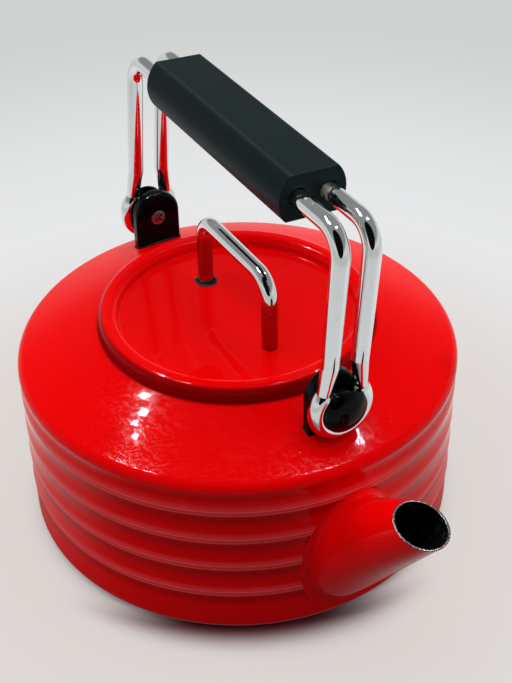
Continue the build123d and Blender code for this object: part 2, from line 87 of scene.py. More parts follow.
shoulder_slope = 12.5 / 39.8
shoulder_foot = 0.090
shoulder_start, shoulder_end = 0.0603, 0.1014
shoulder_bow = 0.00084
bail_lean = math.radians(3.9)
spout_rise = math.radians(46.7)
spout_start = Vector((wall_radius, 0.0, 0.0442))
spout_length = 0.069
spout_root, spout_mouth = 0.0205, 0.0108
mouth_tilt = math.radians(34.1)
sheet = 0.001
print("wall radius", round(wall_radius, 4), "lid radius", round(lid_radius, 4))
print("pivot height", round(pivot_height, 4), "lid handle feet at", round(foot_reach, 4))

# %% [markdown]
# ## Shader maths as plain expressions
# A procedural finish is arithmetic on positions and noises. Written as node after node it is
# hard to read, so one small class stands for a wire between two nodes. Adding or multiplying
# wires adds Math nodes; any other node comes from its `node` method, which takes the settings
# first and the sockets after, because some settings change which sockets there are.


# %% A wire that does sums
class Wire:
    """One output socket of a node tree. Sums on it add Math nodes to the tree."""

    def __init__(self, tree, socket=None):
        self.tree = tree
        self.socket = socket

    def node(self, kind, settings=None, sockets=None, out=0):
        """Adds a node of a kind, sets its settings, then fills or links its sockets."""
        made = self.tree.nodes.new(kind)
        for name, value in (settings or {}).items():
            setattr(made, name, value)
        for name, value in (sockets or {}).items():
            if isinstance(value, Wire):
                self.tree.links.new(value.socket, made.inputs[name])
            else:
                made.inputs[name].default_value = value
        return Wire(self.tree, made.outputs[out] if len(made.outputs) else None)

    def other(self, name):
        """Another output of the node that this wire comes from."""
        return Wire(self.tree, self.socket.node.outputs[name])

    def math(self, operation, *values):
        """A Math node on plain numbers and wires."""
        return self.node("ShaderNodeMath", {"operation": operation}, dict(enumerate(values)))

    def vector(self, operation, *values, out="Vector"):
        """A Vector Math node; out is "Value" where the result is one number."""
        return self.node("ShaderNodeVectorMath", {"operation": operation}, dict(enumerate(values)), out)

    def __add__(self, other):
        return self.math("ADD", self, other)

    def __sub__(self, other):
        return self.math("SUBTRACT", self, other)

    def __rsub__(self, other):
        return self.math("SUBTRACT", other, self)

    def __mul__(self, other):
        return self.math("MULTIPLY", self, other)

    def __abs__(self):
        return self.math("ABSOLUTE", self)

    __radd__ = __add__
    __rmul__ = __mul__


print("a wire can be added, subtracted, multiplied and made positive")

# %% [markdown]
# Masks are wires that hold 0 or 1 with a soft edge. Four words are enough to use them: a
# step, the larger of two, the smaller of two, and a blend of two colours by a mask. Two more
# take a vector apart and darken a colour.


# %% Words for masks
def step(wire, start, end):
    """0 before start, 1 past end, and a smooth rise between; start may be the larger."""
    sockets = {"Value": wire, "From Min": start, "From Max": end}
    return wire.node("ShaderNodeMapRange", {"interpolation_type": "SMOOTHSTEP"}, sockets)


def either(one, other):
    """The larger of two masks."""
    return one.math("MAXIMUM", one, other)


def both(one, other):
    """The smaller of two masks."""
    return one.math("MINIMUM", one, other)


def blend(low, high, mask):
    """Colour low where the mask is 0 and high where it is 1."""
    return mask.node("ShaderNodeMix", {"data_type": "RGBA"}, {0: mask, 6: low, 7: high}, out=2)


def split(vector):
    """X, Y and Z of a vector as three wires."""
    apart = vector.node("ShaderNodeSeparateXYZ", sockets={0: vector})
    return [apart.other(axis) for axis in "XYZ"]


def shade(colour, share):
    """A colour made darker or lighter, as four plain numbers."""
    return tuple(part * share for part in colour[:3]) + (1.0,)


print("words for masks ready")

# %% [markdown]
# ## Places and patterns
# All patterns read Object coordinates, which are metres in the kettle's own frame, so a scale
# of 1000 is one feature per millimetre. Three patterns serve every finish: soft noise, specks
# (small round pits or dust) and hairlines, which are noise stretched along one direction and
# cut to its highest crests. The soft rise at the edge of a hairline is as wide as
# `hairline_edge` on the noise's own scale, where 0 is a valley and 1 a crest.

# %% Patterns in metres
hairline_edge = 0.05


def noise(place, per_metre, detail=2.0, offset=0.0):
    """Soft noise about 0.5 with so many features per metre."""
    moved = place.vector("ADD", place, (offset,) * 3)
    sockets = {"Vector": moved, "Scale": per_metre, "Detail": detail}
    return place.node("ShaderNodeTexNoise", sockets=sockets)


def specks(place, per_metre, radius, share, offset=0.0):
    """1 inside small round spots. radius is in cell widths; share is the part of cells used."""
    moved = place.vector("ADD", place, (offset,) * 3)
    cell = place.node("ShaderNodeTexVoronoi", sockets={"Vector": moved, "Scale": per_metre})
    chosen = split(cell.other("Color"))[0]
    return both(step(cell, radius, radius * 0.5), step(chosen, 1.0 - share, 1.01 - share))


def hairlines(place, turn, per_metre, rarity, stretch=40.0, offset=0.0):
    """Fine scratches: noise stretched along one direction, cut to its crests."""
    sockets = {"Vector": place, "Rotation": turn, "Location": (offset,) * 3, "Scale": (stretch, 1, 1)}
    drawn = place.node("ShaderNodeMapping", {"vector_type": "TEXTURE"}, sockets)
    return step(noise(drawn, per_metre, detail=1.0), rarity, rarity + hairline_edge)


print("a hairline's edge is", hairline_edge, "of the way from valley to crest")

# %% [markdown]
# A material starts as an empty tree with a place, and ends in one Principled shader. Between
# the two come colour, gloss and relief. Relief is a Bump node: it tilts the light as a real
# height in metres would, and the mesh stays as it is.


# %% The start and the end of a material
def begin(name):
    """A new material with an empty tree: the material and the place of a point on it."""
    paint = bpy.data.materials.new(name)
    paint.use_nodes = True
    paint.node_tree.nodes.clear()
    return paint, Wire(paint.node_tree).node("ShaderNodeTexCoord", out="Object")


def relief(height, depth, under=None):
    """Normal of a surface raised by height (0 to 1) times depth in metres."""
    sockets = {"Height": height, "Distance": depth}
    if under is not None:
        sockets["Normal"] = under
    return height.node("ShaderNodeBump", sockets=sockets)


def surface(place, **sockets):
    """Ends a material in one Principled shader."""
    named = {name.replace("_", " "): value for name, value in sockets.items()}
    shader = place.node("ShaderNodeBsdfPrincipled", sockets=named)
    place.node("ShaderNodeOutputMaterial", sockets={"Surface": shader})


def wear(paint, *names):
    """Gives the material to CAD nodes by their names."""
    for name in names:
        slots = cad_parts[name].data.materials
        slots.clear()
        slots.append(paint)
    print(paint.name, "on", ", ".join(names))


print("nodes that need a finish:", len(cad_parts))

# %% [markdown]
# ## Where a point is on the kettle
# Some finishes depend on the place: the kettle is red outside and black inside, and its ribs
# are rubbed on their crests. So a few helpers turn a place into the lengths that a maker would
# use: the distance from the axis, how far the surface faces outward and up, and the distance
# from the spout's own axis.


# %% Lengths that a maker would use
def from_axis(place, x=0.0, y=0.0):
    """Distance from a vertical line through (x, y)."""
    flat = place.vector("MULTIPLY", place.vector("SUBTRACT", place, (x, y, 0.0)), (1.0, 1.0, 0.0))
    return place.vector("LENGTH", flat, out="Value")


def facing(place):
    """How far the surface faces away from the kettle's axis, and how far it faces up."""
    normal = place.node("ShaderNodeNewGeometry", out="Normal")
    flat = place.vector("MULTIPLY", place, (1.0, 1.0, 0.0))
    outward = place.vector("DOT_PRODUCT", place.vector("NORMALIZE", flat), normal, out="Value")
    return outward, split(normal)[2]


spout_way = Vector((math.cos(spout_rise), 0.0, math.sin(spout_rise)))
spout_taper = (spout_root - spout_mouth) / spout_length


def along_spout(place):
    """Distance along the spout from the wall, and distance from the spout's axis."""
    moved = place.vector("SUBTRACT", place, spout_start)
    along = place.vector("DOT_PRODUCT", moved, spout_way, out="Value")
    aside = place.vector("LENGTH", place.vector("CROSS_PRODUCT", moved, spout_way), out="Value")
    return along, aside


def upright_bail(place):
    """A place on the bail as it would be with the bail upright and the pivot at the origin."""
    sockets = {"Vector": place, "Location": (0.0, 0.0, pivot_height), "Rotation": (-bail_lean, 0, 0)}
    return place.node("ShaderNodeMapping", {"vector_type": "TEXTURE"}, sockets)


print("spout taper", round(spout_taper, 4), "per metre of length")

# %% [markdown]
# ## Fired enamel
# Enamel is glass melted onto steel: a deep even colour under a hard clear gloss. Up close the
# gloss is never flat. It has the long soft waves of glass that flowed, a few pinholes from
# gas in the firing, and hairline scratches from years of wiping, which only show as a bright
# fan round each reflected lamp. Where shade falls, under the ribs, round the lid's edge and
# on its steep skirt, a darker red is painted in as painted shade. The first reflection of a
# deep red glass is itself red; only a glancing one is white, so the specular tint is red.
#
# Its index of refraction is set lower than that of real glass, which keeps the red deep under
# a pale sky.

# %% Colours of the enamel and its wiping marks
enamel_red = (0.82, 0.0008, 0.0012, 1.0)
enamel_deep = (0.50, 0.0004, 0.0016, 1.0)
enamel_dark = (0.30, 0.0003, 0.0010, 1.0)
enamel_dust = (0.55, 0.09, 0.08, 1.0)
enamel_rubbed_and_lit = (0.88, 0.19, 0.21, 1.0)
ground_coat = (0.006, 0.007, 0.008, 1.0)
crust_grey = (0.045, 0.045, 0.042, 1.0)
bared_steel = (0.10, 0.09, 0.085, 1.0)
burnt_steel = (0.012, 0.009, 0.008, 1.0)
first_reflection = (1.0, 0.10, 0.28, 1.0)
enamel_index = 1.15
haze_roughness = 0.13
wave_depth, scratch_depth, pinhole_depth, chip_depth = 0.00002, 0.000003, 0.0001, 0.00012
scratch_turns = [(0.1, 0.2, 0.3), (0.2, -0.1, 1.1), (-0.1, 0.2, 1.9), (0.2, 0.1, 2.6)]


def wiping(place):
    """Hairlines in several directions at once, as a cloth with grit leaves them."""
    strokes = [
        hairlines(place, turn, 1200.0, 0.62, stretch=8.0, offset=0.3 * index)
        for index, turn in enumerate(scratch_turns)
    ]
    return reduce(either, strokes)


print("wiping marks in", len(scratch_turns), "directions")

# %% [markdown]
# The masks come in as functions of the place, because each node has its own: `inner` is the
# black ground coat inside, `dark` is where a darker red is painted (painted shade on the drum
# and the lid, a darker band low on the base), `bare` is where it chipped, and `dull` is where
# the gloss is rubbed dull and the colour is painted paler as a painted highlight. The haze
# round a reflected lamp comes from the clear coat, which is laid on almost only where there
# are wiping marks.


# %% The red enamel
def enamel(name, inner=None, dark=None, bare=None, dull=None):
    """Red enamel. Colour, gloss and relief each start plain and gain one trait at a time."""
    paint, place = begin(name)
    clouds = noise(place, 20.0, detail=3.0)
    fur = wiping(place)
    scratches = both(fur, step(noise(place, 60.0, offset=4.0), 0.50, 0.70))
    pinholes = specks(place, 160.0, 0.05, 0.06, offset=0.2)
    colour = blend(enamel_deep, enamel_red, step(clouds, 0.02, 0.42))
    # A darker red where the dark mask is: painted shade on the drum and the lid, darker low on the base.
    if dark is not None:
        colour = blend(colour, enamel_dark, dark(place))
    colour = blend(colour, enamel_dust, specks(place, 240.0, 0.09, 0.02, offset=0.7) * 0.5)
    colour = blend(colour, enamel_deep, pinholes)
    gloss = step(clouds, 0.2, 0.8) * 0.012 + scratches * 0.05 + 0.018
    haze = fur * (step(clouds, 0.25, 0.65) * 0.11 + 0.02) + 0.003
    normal = relief(noise(place, 140.0, offset=1.3), wave_depth)
    normal = relief(scratches, scratch_depth, normal)
    normal = relief(1.0 - pinholes, pinhole_depth, normal)
    metal = 0.0
    # Where the dull mask is, the gloss is dulled and the colour painted paler: a painted highlight.
    if dull is not None:
        rubbed = dull(place)
        colour = blend(colour, enamel_rubbed_and_lit, rubbed * 0.6)
        gloss = gloss + rubbed * 0.04
    if inner is not None:
        within = inner(place)
        crust = step(noise(place, 420.0, detail=4.0, offset=2.0), 0.52, 0.75)
        colour = blend(colour, blend(ground_coat, crust_grey, crust), within)
        gloss = gloss + within * (crust * 0.35 + 0.10)
    if bare is not None:
        chip = bare(place)
        rust = step(noise(place, 800.0, detail=3.0, offset=5.0), 0.42, 0.62)
        colour = blend(colour, blend(bared_steel, burnt_steel, rust), chip)
        gloss = gloss + chip * 0.40
        metal = chip * 0.6
        normal = relief(1.0 - chip, chip_depth, normal)
    surface(
        place, Base_Color=colour, Roughness=gloss, Metallic=metal, Normal=normal, IOR=enamel_index,
        Specular_Tint=first_reflection, Coat_Weight=haze, Coat_Roughness=haze_roughness,
    )
    return paint


print("pinholes", round(pinhole_depth * 1000, 3), "mm deep, chips", round(chip_depth * 1000, 3), "mm deep")

# %% [markdown]
# The drum is black inside and red outside. Its shoulder and wall face out or up, and their
# backs face in or down, so one sum tells the two apart. The four ribs stand out of the wall.
# On each rib two thin pale lines, one either side of the crest, and a paler flank above them
# are a painted highlight where the ribs catch the light; their gloss is a little dulled there
# too, as by rubbing. Under each rib, and in a narrow ring round the edge of the lid, a deeper
# red is painted shade.

# %% Enamel of the drum and the weld bead
first_rib, rib_pitch, rib_count = 0.0254, 0.0165, 4


def drum_inside(place):
    """Where the sheet faces in or down."""
    outward, up = facing(place)
    return step(outward + up, 0.1, -0.1)


def on_ribs(place, mask):
    """A mask of the height over a rib's crest, drawn on all four ribs and on the wall only."""
    height = split(place)[2]
    marks = [mask(height - (first_rib + index * rib_pitch)) for index in range(rib_count)]
    on_wall = step(from_axis(place), wall_radius - 0.0040, wall_radius - 0.0020)
    return both(reduce(either, marks), on_wall)


def rib_wear_and_highlight(place):
    """Painted highlight, with a little rubbing: two thin pale lines on each rib, one on either side of its
    crest, and a pale flank above.
    """

    def mask(over):
        lines = step(abs(abs(over) - 0.0010), 0.0004, 0.0001)
        flank = both(step(over, 0.0048, 0.0012), step(over, -0.0020, -0.0008))
        return either(lines, flank * 0.32)

    return on_ribs(place, mask)


def painted_shade_places(place):
    """Painted shade: a darker band under each rib, and a dark line round the edge of the lid."""

    def mask(over):
        return both(step(over, -0.0010, -0.0026), step(over, -0.0090, -0.0040))

    trough = step(abs(from_axis(place) - lid_radius), 0.0016, 0.0004)
    return either(on_ribs(place, mask) * 0.46, trough)


def drum_chips(place):
    """A few small chips where the edge of the lid rubs the shoulder."""
    rubbed = step(abs(from_axis(place) - lid_radius), 0.0012, 0.0003)
    return both(specks(place, 300.0, 0.30, 0.05, offset=3.0), rubbed)


drum_enamel = enamel("drum_enamel", inner=drum_inside, dark=painted_shade_places, bare=drum_chips, dull=rib_wear_and_highlight)
wear(drum_enamel, "drum_shell")
wear(enamel("bead_enamel"), "spout_collar")

# %% [markdown]
# The base dish is the hardest used face. Its standing ring has worn to bare steel in patches,
# and the lowest 6 mm of the dish is darker.

# %% Enamel of the base
stand_ring = 0.0895


def base_inside(place):
    """Where the dish faces up into the kettle."""
    up = facing(place)[1]
    return step(up, 0.5, 0.8)


def base_worn(place):
    """Bare patches on the ring that the kettle stands on."""
    ring = step(abs(from_axis(place) - stand_ring), 0.005, 0.003)
    low = step(split(place)[2], 0.0004, 0.0001)
    return both(both(ring, low), step(noise(place, 130.0, detail=4.0, offset=9.0), 0.46, 0.56))


def base_darker_low(place):
    """Darker towards the bottom, over the lowest 6 mm."""
    return step(split(place)[2], 0.006, 0.001) * 0.8


wear(enamel("base_enamel", inner=base_inside, dark=base_darker_low, bare=base_worn), "base_pan")

# %% [markdown]
# The spout is a rolled cone, red outside and black in its bore. The lid is red above and
# black below, and a dark worn ring lies round the rear foot of its handle, where the enamel
# cracked under the washer and cooking grime settled. The steep outer slope of the lid's rim
# and its skirt are painted a darker red, as painted shade.

# %% Enamel of the spout and the lid
skirt_inside = 0.0610
rim_turns_down, rim_is_steep = 0.0612, 0.0630


def bore(place):
    """Nearer to the spout's axis than the middle of its wall."""
    along, aside = along_spout(place)
    middle = spout_root - sheet / 2 - along * spout_taper
    return step(middle - aside, -0.0001, 0.0001)


def under_lid(place):
    """The underside of the lid and the back of its skirt."""
    outward, up = facing(place)
    past_floor = step(from_axis(place), skirt_inside, skirt_inside + 0.001)
    back_of_skirt = both(past_floor, step(outward, -0.3, -0.5))
    return either(step(up, -0.2, -0.4), back_of_skirt)


def lid_skirt_painted_shade(place):
    """Painted shade: a darker red on the steep outer slope of the rim and the skirt below it."""
    low = step(split(place)[2], lid_high.z, lid_high.z - 0.0012)
    return both(low, step(from_axis(place), rim_turns_down, rim_is_steep))


def grimy_foot(place):
    """A ragged dark ring round the rear foot of the lid handle."""
    away = from_axis(place, -foot_reach, 0.0)
    ragged = away + (noise(place, 500.0, detail=3.0) - 0.5) * 0.004
    on_top = step(split(place)[2], lid_floor - 0.0004, lid_floor - 0.0002)
    return both(step(ragged, 0.0060, 0.0052), on_top)


def all_inside(place):
    """The whole spigot hangs inside the kettle: every point of it is under half a metre high."""
    return step(split(place)[2], 1.0, 0.5)


wear(enamel("spout_enamel", inner=bore), "spout_tube")
wear(enamel("lid_enamel", inner=under_lid, dark=lid_skirt_painted_shade, bare=grimy_foot), "lid_pan")
wear(enamel("spigot_enamel", inner=all_inside), "lid_spigot")

# %% [markdown]
# ## Chrome plate
# The rods are bent steel wire, polished and plated. A mirror has almost no colour of its own;
# what makes it read as old chrome is tiny dark pits in patches and faint wiping marks. Where
# a rod enters the grip, a greenish brown film has built up that no cloth reaches. The lower
# legs of the lid handle are painted darker, as painted shade in what they mirror.

# %% The chrome
chrome_bright = (0.71, 0.73, 0.725, 1.0)
chrome_painted_shade = (0.36, 0.34, 0.36, 1.0)
chrome_pit = (0.10, 0.09, 0.08, 1.0)
grip_film = (0.17, 0.16, 0.07, 1.0)


def chrome(name, film=None, dim=None):
    """Old chrome; film and dim are masks of a brown film and of plate painted darker as painted shade."""
    paint, place = begin(name)
    patches = step(noise(place, 70.0, detail=2.0), 0.48, 0.70)
    pits = both(specks(place, 1300.0, 0.26, 0.35), patches)
    wiped = hairlines(place, (0.1, 0.2, 0.3), 1500.0, 0.60, stretch=20.0)
    colour = blend(chrome_bright, chrome_pit, pits * 0.7)
    gloss = pits * 0.30 + wiped * 0.05 + patches * 0.03 + 0.03
    normal = relief(noise(place, 130.0, detail=1.0, offset=3.0), 0.00002)
    normal = relief(1.0 - pits, 0.00003, normal)
    metal = 1.0
    if dim is not None:
        colour = blend(colour, chrome_painted_shade, dim(place))
    if film is not None:
        coat = film(place)
        colour = blend(colour, grip_film, coat)
        gloss = gloss + coat * 0.45
        metal = 1.0 - coat * 0.75
    surface(place, Base_Color=colour, Roughness=gloss, Metallic=metal, Normal=normal)
    return paint


film_height = 0.0865
shaded_legs_height = 0.0230


def film_by_grip(place):
    """Film on the lower inner side of the rod at +Y, thick at the grip and soon gone."""
    x, y, z = split(upright_bail(place))
    reach = step(x, grip_high.x + 0.013, grip_high.x - 0.002)
    low = step(z, film_height + 0.0025, film_height)
    inner_side = step(y, 0.0080, 0.0060)
    ragged = step(noise(place, 600.0, detail=3.0) + reach * 0.35, 0.62, 0.74)
    on_this_rod = step(y, 0.0, 0.001)
    return reduce(both, [reach, low, inner_side, ragged, on_this_rod])


def painted_shade_legs(place):
    """The lower legs of the lid handle, where the chrome is painted darker as painted shade."""
    return step(split(place)[2], lid_floor + shaded_legs_height + 0.006, lid_floor + shaded_legs_height)


wear(chrome("rod_chrome", film=film_by_grip), "front_wire")
wear(chrome("plain_chrome"), "rear_wire")
wear(chrome("handle_chrome", dim=painted_shade_legs), "lid_handle")

# %% [markdown]
# ## Black phenolic
# Posts, hubs and caps are pressed phenolic resin with a polished face. What shows on it is
# dust, a few hairlines, and a faint waviness from the mould.

# %% The polished black
polished_black = (0.0012, 0.0018, 0.0020, 1.0)
dusty_black = (0.0045, 0.0055, 0.0060, 1.0)
polished_index = 1.18


def phenolic(name):
    """Polished black with dust, hairlines and faint waves."""
    paint, place = begin(name)
    clouds = noise(place, 90.0, detail=3.0)
    lines = hairlines(place, (0.2, 0.1, 0.9), 1100.0, 0.64, stretch=24.0)
    dust = specks(place, 900.0, 0.16, 0.10)
    colour = blend(polished_black, dusty_black, either(step(clouds, 0.5, 0.8) * 0.5, dust * 0.6))
    gloss = step(clouds, 0.2, 0.8) * 0.05 + lines * 0.16 + dust * 0.2 + 0.09
    normal = relief(noise(place, 420.0), 0.00001)
    surface(place, Base_Color=colour, Roughness=gloss, Normal=normal, IOR=polished_index)
    return paint


polished = phenolic("polished_phenolic")
wear(polished, "front_bracket", "rear_bracket", "front_hub", "rear_hub", "front_hub_cap", "rear_hub_cap")

# %% [markdown]
# The grip is the same resin with a satin face. Its mould closed at the widest line of both
# flanks, which leaves a fine parting line. Hands have polished the edges glossier; the edges
# and ends are also painted paler, a painted highlight, and the lower half is painted paler in
# patches, a painted reflection on its lower bevel. The masks are drawn with the bail upright
# and the pivot at the origin.

# %% The satin black of the grip
satin_black = (0.0035, 0.0120, 0.0135, 1.0)
satin_worn_and_lit = (0.0160, 0.0260, 0.0280, 1.0)
satin_index = 1.12
parting_height = 0.0841
grip_flat = 0.0953
grip_middle, grip_half = -0.0030, 0.0606


def grip_finish(name):
    """Satin black with a parting line; edges polished glossier, edges and ends painted paler as a painted
    highlight, and the lower half painted paler in patches as a painted reflection.
    """
    paint, place = begin(name)
    x, y, z = split(upright_bail(place))
    clouds = noise(place, 60.0, detail=4.0)
    grain = noise(place, 3200.0, detail=2.0)
    parting = step(abs(z - parting_height), 0.00022, 0.00008)
    # The top edges: glossier, and painted paler as a painted highlight.
    edge = both(step(abs(z - grip_flat), 0.0011, 0.0003), step(abs(y), 0.0100, 0.0108))
    ends = step(abs(x - grip_middle), grip_half - 0.0010, grip_half - 0.0002)
    lower = step(z, parting_height, parting_height - 0.001)
    lines = either(
        hairlines(place, (0.2, 0.1, 0.5), 1200.0, 0.64, stretch=30.0),
        hairlines(place, (-0.1, 0.2, 1.9), 1000.0, 0.66, stretch=24.0, offset=0.4),
    )
    # The lower half painted paler in patches: a painted reflection, broken up like scuffs.
    scuffs_and_sheen = lower * step(clouds, 0.35, 0.7) * 0.5
    scratched = both(lines, step(clouds, 0.45, 0.65)) * 0.55
    worn = reduce(either, [edge * 0.8, ends * 0.25, parting * 0.6, scuffs_and_sheen, scratched])
    colour = blend(satin_black, satin_worn_and_lit, worn)
    gloss = step(clouds, 0.2, 0.8) * 0.08 + grain * 0.08 + 0.34 - edge * 0.08
    normal = relief(grain, 0.000012)
    normal = relief(parting, 0.00015, normal)
    surface(place, Base_Color=colour, Roughness=gloss, Normal=normal, IOR=satin_index)
    return paint


wear(grip_finish("satin_phenolic"), "grip")

# %% [markdown]
# ## Small metal and fibre
# Screws and nuts are zinc plated, the tabs are cut from bare sheet, and the friction washers
# are pressed fibre. They are small, but a lifted lid or a folded bail shows them.

# %% Screws and tabs
zinc = (0.34, 0.33, 0.33, 1.0)
cut_sheet = (0.40, 0.39, 0.38, 1.0)


def turned_metal(name, colour, smooth, rough):
    """Plated or bare steel: fine machining marks, and a dull bloom in patches."""
    paint, place = begin(name)
    marks = noise(place, 2600.0, detail=2.0)
    bloom = step(noise(place, 260.0, detail=3.0, offset=2.0), 0.45, 0.7)
    tone = blend(colour, shade(colour, 0.45), either(step(marks, 0.5, 0.8), bloom * 0.8))
    gloss = marks * (rough - smooth) + bloom * 0.15 + smooth
    surface(place, Base_Color=tone, Roughness=gloss, Metallic=1.0, Normal=relief(marks, 0.00001))
    return paint


zinc_plate = turned_metal("zinc_plate", zinc, 0.20, 0.42)
tab_steel = turned_metal("tab_steel", cut_sheet, 0.35, 0.60)
wear(zinc_plate, "front_pivot_screw", "rear_pivot_screw", "front_pivot_nut", "rear_pivot_nut")
wear(zinc_plate, "lid_handle_washers", "lid_handle_screws")
wear(tab_steel, "front_lug", "rear_lug")

# %% [markdown]
# A friction washer is paper fibre pressed hard and soaked in resin. Its strands show as short
# pale hairlines on a dark brown ground.

# %% Fibre washers
fibre_dark = (0.050, 0.028, 0.016, 1.0)
fibre_pale = (0.110, 0.070, 0.040, 1.0)


def fibre_finish(name):
    """Dark fibre with pale strands that stand a little proud."""
    paint, place = begin(name)
    strands = hairlines(place, (0.4, 0.2, 0.1), 900.0, 0.5, stretch=8.0)
    colour = blend(fibre_dark, fibre_pale, strands)
    surface(place, Base_Color=colour, Roughness=strands * 0.1 + 0.65, Normal=relief(strands, 0.00003))
    return paint


wear(fibre_finish("pressed_fibre"), "front_friction_washer", "rear_friction_washer")

# %% [markdown]
# ## Thin pieces drawn as surfaces
# Three kinds of trim are too thin to be worth a solid: the fired lip on the spout's cut edge,
# the seals under the posts, and the seal under the rear foot of the lid handle. Each is a
# ring: a small section carried round a closed path. A ring is a grid of points, rows round the
# path and columns round the section, joined to itself both ways, so it is closed with no seam.


# %% A closed ring from a grid of points
def ring_piece(name, points, body, paint):
    """A mesh over a grid of points that joins its last row and column to its first. The sum of
    corner . (second x third) over its faces is negative if they point inwards, and then they
    are turned round."""
    rows, columns = points.shape[:2]
    index = np.arange(rows * columns).reshape(rows, columns)
    after = np.roll(index, -1, axis=0)
    faces = np.stack([index, after, np.roll(after, -1, axis=1), np.roll(index, -1, axis=1)], axis=-1)
    faces = faces.reshape(-1, 4)
    flat = points.reshape(-1, 3)
    corner, second, third = flat[faces[:, 0]], flat[faces[:, 1]], flat[faces[:, 2]]
    if np.einsum("ij,ij->", corner, np.cross(second, third)) < 0:
        faces = faces[:, ::-1]
    mesh = bpy.data.meshes.new(name)
    mesh.from_pydata(flat.tolist(), [], faces.tolist())
    mesh.shade_smooth()
    mesh.materials.append(paint)
    piece = bpy.data.objects.new(name, mesh)
    bpy.context.scene.collection.objects.link(piece)
    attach(piece, body)
    print(name, len(flat), "points, rides on", body)


def once_round(count):
    """Angles once round, without the last one, which is the first again."""
    return np.linspace(0.0, 2.0 * math.pi, count, endpoint=False)


print("four steps once round:", once_round(4).round(3).tolist())

# %% [markdown]
# The lip is where the sheet of the spout was cut at a slant, so it follows an ellipse: the
# cone cut by the mouth plane. The ground coat ran back from that edge in the fire, and years
# of pouring wore its crest to grey steel.

# %% The mouth of the spout
mouth_centre = spout_start + spout_way * spout_length
mouth_normal = Vector((math.cos(spout_rise + mouth_tilt), 0.0, math.sin(spout_rise + mouth_tilt)))


def mouth_ring(inset, angles):
    """Points where the spout's cone, moved in by inset, meets the mouth plane. A point of the
    cone at angle a is centre + s * way + r * side, with side = cos a * level + sin a * rise
    and r = mouth radius - inset - taper * s; putting it in the plane gives s."""
    level = np.array((0.0, 1.0, 0.0))
    way = np.array(spout_way)
    rise = np.cross(way, level)
    side = np.outer(np.cos(angles), level) + np.outer(np.sin(angles), rise)
    normal = np.array(mouth_normal)
    lean = side @ normal
    radius = spout_mouth - inset
    s = -radius * lean / (way @ normal - spout_taper * lean)
    return np.array(mouth_centre) + s[:, None] * way + (radius - spout_taper * s)[:, None] * side


top, bottom = mouth_ring(0.0, np.radians([90.0, 270.0]))
print("the mouth is", round(float(np.linalg.norm(top - bottom)) * 1000, 1), "mm long")

# %% [markdown]
# The lip itself is a bead that is half sunk in the edge, with a slow ripple in its height. Its
# finish is the black of the ground coat, with steel where the crest is worn and in flecks.

# %% The fired lip
lip_black = (0.008, 0.008, 0.008, 1.0)
lip_steel = (0.32, 0.31, 0.30, 1.0)


def lip_finish(name):
    """Black glass, worn on its crest, which is found by its height over the mouth plane."""
    paint, place = begin(name)
    ragged = noise(place, 900.0, detail=3.0)
    from_mouth = place.vector("SUBTRACT", place, mouth_centre)
    crest = place.vector("DOT_PRODUCT", from_mouth, mouth_normal, out="Value")
    worn = both(step(crest, 0.00004, 0.00022), step(ragged, 0.52, 0.62))
    flecks = specks(place, 600.0, 0.30, 0.07, offset=1.0)
    bared = either(worn * 0.12, flecks * 0.6)
    colour = blend(lip_black, lip_steel, bared)
    gloss = ragged * 0.15 + bared * 0.15 + 0.18
    normal = relief(ragged, 0.00008)
    surface(place, Base_Color=colour, Roughness=gloss, Metallic=bared * 0.7, Normal=normal)
    return paint


def lip_points(rows=220, columns=16, half_width=0.00056, height=0.00030, sink=0.00016):
    """A half-sunk oval bead along the middle of the cut edge: the middle, plus half_width *
    cos t across the edge, plus height * sin t up the normal of the mouth plane, less sink."""
    path = once_round(rows)
    outer, inner = mouth_ring(0.0, path), mouth_ring(sheet, path)
    middle = (outer + inner) / 2
    across = outer - inner
    across = across / np.linalg.norm(across, axis=1, keepdims=True)
    around = once_round(columns)
    ripple = 1.0 + 0.10 * np.sin(9 * path) * np.sin(23 * path + 1.0)
    out = across[:, None, :] * (half_width * np.cos(around))[None, :, None]
    up = np.array(mouth_normal)[None, None, :] * (height * np.outer(ripple, np.sin(around)))[:, :, None]
    return middle[:, None, :] - sink * np.array(mouth_normal) + out + up


ring_piece("spout_lip", lip_points(), "kettle_body", lip_finish("fired_lip"))

# %% [markdown]
# Each post stands on a thin black seal, which keeps water off the welded tab; its black also
# stands in for the dark contact shadow round the post's foot. Its path is the outline of the
# post's foot, a rectangle with rounded corners, laid onto the sloping shoulder.

# %% Where a seal runs
corner_power = 7.0
seal_tuck = 0.0004


def foot_outline(low, high, angles):
    """A superellipse |x/a|^n + |y/b|^n = 1 about the foot's middle, which for n = 7 is a
    rectangle with soft corners. It is tucked a little under the post."""
    c, s = np.cos(angles), np.sin(angles)
    radius = (np.abs(c) ** corner_power + np.abs(s) ** corner_power) ** (-1.0 / corner_power)
    half_x, half_y = (high.x - low.x) / 2 - seal_tuck, (high.y - low.y) / 2 - seal_tuck
    return (low.x + high.x) / 2 + half_x * radius * c, half_y * radius * s


def shoulder_height(radius):
    """The straight line of the shoulder, plus a shallow bow 4 h t (1 - t) that is h high at
    its middle, with t from 0 to 1 between the two ends of the bow."""
    t = np.clip((radius - shoulder_start) / (shoulder_end - shoulder_start), 0.0, 1.0)
    return shoulder_foot + (wall_radius - radius) * shoulder_slope + 4.0 * shoulder_bow * t * (1.0 - t)


print("the shoulder is", round(float(shoulder_height(lid_radius)) * 1000, 1), "mm high at the lid's edge")

# %% [markdown]
# The seal is a small oval bead along that outline. It bulges out from the post and rises and
# falls with the shoulder, so it looks pressed onto it.

# %% Seals under the posts
rubber_black = (0.0025, 0.0025, 0.0028)
rubber_index = 1.2


